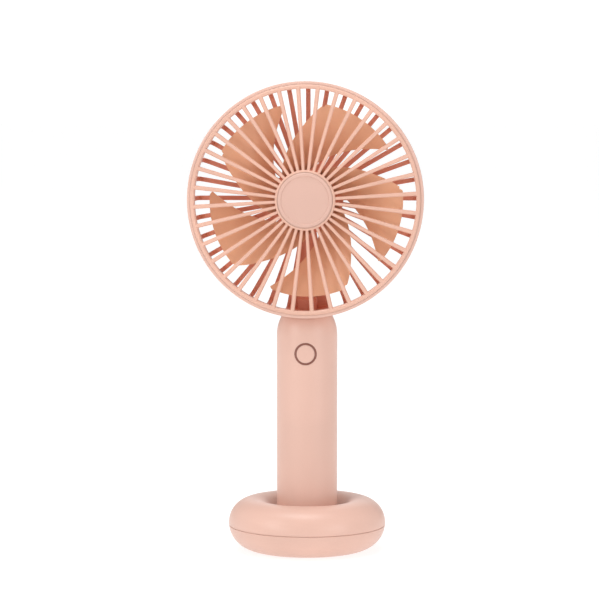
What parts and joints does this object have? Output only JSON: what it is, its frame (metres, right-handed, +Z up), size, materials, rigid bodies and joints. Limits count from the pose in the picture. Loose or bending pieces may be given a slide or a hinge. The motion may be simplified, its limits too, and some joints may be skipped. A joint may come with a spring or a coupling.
{
  "type": "handheld electric fan",
  "caption": "Small battery fan with a round caged head on a cylindrical handle that stands in a ring-shaped base.",
  "frame": {"origin": "centre of the base's underside, on the handle's axis", "axes": "+Z up along the handle; -Y the side the air leaves and the button is on; +X to the right seen from the front"},
  "size_m": [0.102, 0.0688, 0.2053],
  "materials": {
    "pink_casing": "satin moulded",
    "blade_plastic": "satin moulded",
    "dark_trim": "matte",
    "black_plastic": "matte",
    "board_green": "solder-masked",
    "steel": "zinc plated",
    "nickel": "nickel plated",
    "magnet": "sintered",
    "rotor_iron": "laminated",
    "cell_sleeve": "shrink sleeve",
    "lead_red": "soft insulation",
    "grey_foam": "foam",
    "foot_rubber": "soft matte",
    "weight_iron": "as cast",
    "brass": "bright"
  },
  "bodies": {
    "base": {"base_upper_shell": "pink_casing", "base_lower_shell": "pink_casing", "base_weight": "weight_iron", "foot_ring": "foot_rubber", "base_screws": "steel"},
    "fan": {"front_grille": "pink_casing", "front_hub_cap": "pink_casing", "rear_cover": "pink_casing", "rear_hub_cap": "pink_casing", "motor_can": "steel", "motor_end_cap": "black_plastic", "motor_terminals": "brass", "motor_magnets": "magnet", "motor_leads": "lead_red", "battery_leads": "lead_red", "handle_front_shell": "pink_casing", "handle_rear_shell": "pink_casing", "handle_bottom_cap": "pink_casing", "button_bezel": "dark_trim", "circuit_board": "board_green", "switch_body": "black_plastic", "usb_port_shell": "nickel", "usb_port_tongue": "black_plastic", "board_components": "black_plastic", "battery_cell": "cell_sleeve", "battery_tabs": "nickel", "battery_pad": "grey_foam", "handle_screws": "steel"},
    "rotor": {"fan_impeller": "blade_plastic", "motor_rotor": "rotor_iron", "motor_shaft": "steel"},
    "button": {"power_button": "pink_casing", "switch_stem": "black_plastic"}
  },
  "joints": [
    {"name": "fan_lift", "type": "slide", "parent": "base", "child": "fan", "axis": [0, 0, 1], "range_m": [0, 0.03]},
    {"name": "blade_spin", "type": "hinge", "parent": "fan", "child": "rotor", "pos_m": [0, -0.006, 0.1543], "axis": [0, 1, 0], "continuous": true},
    {"name": "button_press", "type": "slide", "parent": "fan", "child": "button", "axis": [0, 1, 0], "range_m": [0, 0.0005], "stiffness_N_per_m": 1000, "springref_m": -0.0001}
  ]
}
